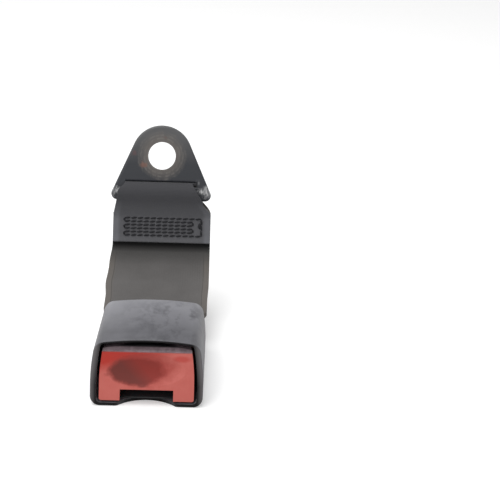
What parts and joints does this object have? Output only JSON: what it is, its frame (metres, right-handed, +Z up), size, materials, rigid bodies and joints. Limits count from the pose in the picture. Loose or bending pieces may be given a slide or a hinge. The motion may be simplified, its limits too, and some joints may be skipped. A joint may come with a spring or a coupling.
{
  "type": "seat belt buckle",
  "caption": "Front-release seat belt buckle with a red push button, on folded stitched webbing that ends in a bolt-down steel anchor plate.",
  "frame": {"origin": "middle of the buckle's flat underside", "axes": "+Z up from the face it lies on, -Y the way the red button faces, +Y the way the webbing leaves, X across the buckle"},
  "size_m": [0.047, 0.1211, 0.0847],
  "materials": {
    "cover_plastic": "fine moulded grain, satin where it is handled",
    "guide_plastic": "black acetal, satin",
    "button_plastic": "worn red moulding with grime in the dish",
    "frame_steel": "zinc plated pressing",
    "latch_steel": "hardened pressing",
    "pin_steel": "ground steel",
    "spring_steel": "drawn wire and strip",
    "webbing": "woven polyester webbing, grey brown with age",
    "anchor_paint": "black painted steel, worn at the corners and under the washer"
  },
  "bodies": {
    "housing": {"upper_cover": "cover_plastic", "lower_cover": "cover_plastic", "tongue_guide": "guide_plastic", "buckle_frame": "frame_steel", "spring_bridge": "frame_steel", "latch_pivot_pin": "pin_steel", "pivot_clip_left": "pin_steel", "pivot_clip_right": "pin_steel", "latch_spring": "spring_steel", "button_spring_left": "spring_steel", "button_spring_right": "spring_steel", "ejector_spring": "spring_steel"},
    "button": {"push_button": "button_plastic", "release_pin": "pin_steel"},
    "latch": {"latch": "latch_steel"},
    "ejector": {"ejector": "guide_plastic"},
    "strap": {"webbing": "webbing"},
    "anchor": {"anchor_plate": "anchor_paint"}
  },
  "joints": [
    {"name": "button_press", "type": "slide", "parent": "housing", "child": "button", "axis": [0, 1, 0], "range_m": [0, 0.006], "stiffness_N_per_m": 500, "springref_m": -0.004, "deforming": ["button_spring_left", "button_spring_right"]},
    {"name": "latch_lift", "type": "hinge", "parent": "housing", "child": "latch", "pos_m": [0, 0.01, 0.011], "axis": [-1, 0, 0], "range_deg": [0, 10], "deforming": ["latch_spring"]},
    {"name": "ejector_slide", "type": "slide", "parent": "housing", "child": "ejector", "axis": [0, 1, 0], "range_m": [0, 0.006], "stiffness_N_per_m": 300, "springref_m": -0.006, "deforming": ["ejector_spring"]},
    {"name": "strap_swing", "type": "hinge", "parent": "housing", "child": "strap", "pos_m": [0, 0.0245, 0.01], "axis": [1, 0, 0], "range_deg": [-15, 15]},
    {"name": "anchor_swivel", "type": "hinge", "parent": "strap", "child": "anchor", "pos_m": [0, 0.0807, 0.05417], "axis": [1, 0, 0], "range_deg": [-45, 45]}
  ],
  "couplings": [
    {"joint": "latch_lift", "follows": "button_press", "rad_per_m": 29.089}
  ]
}
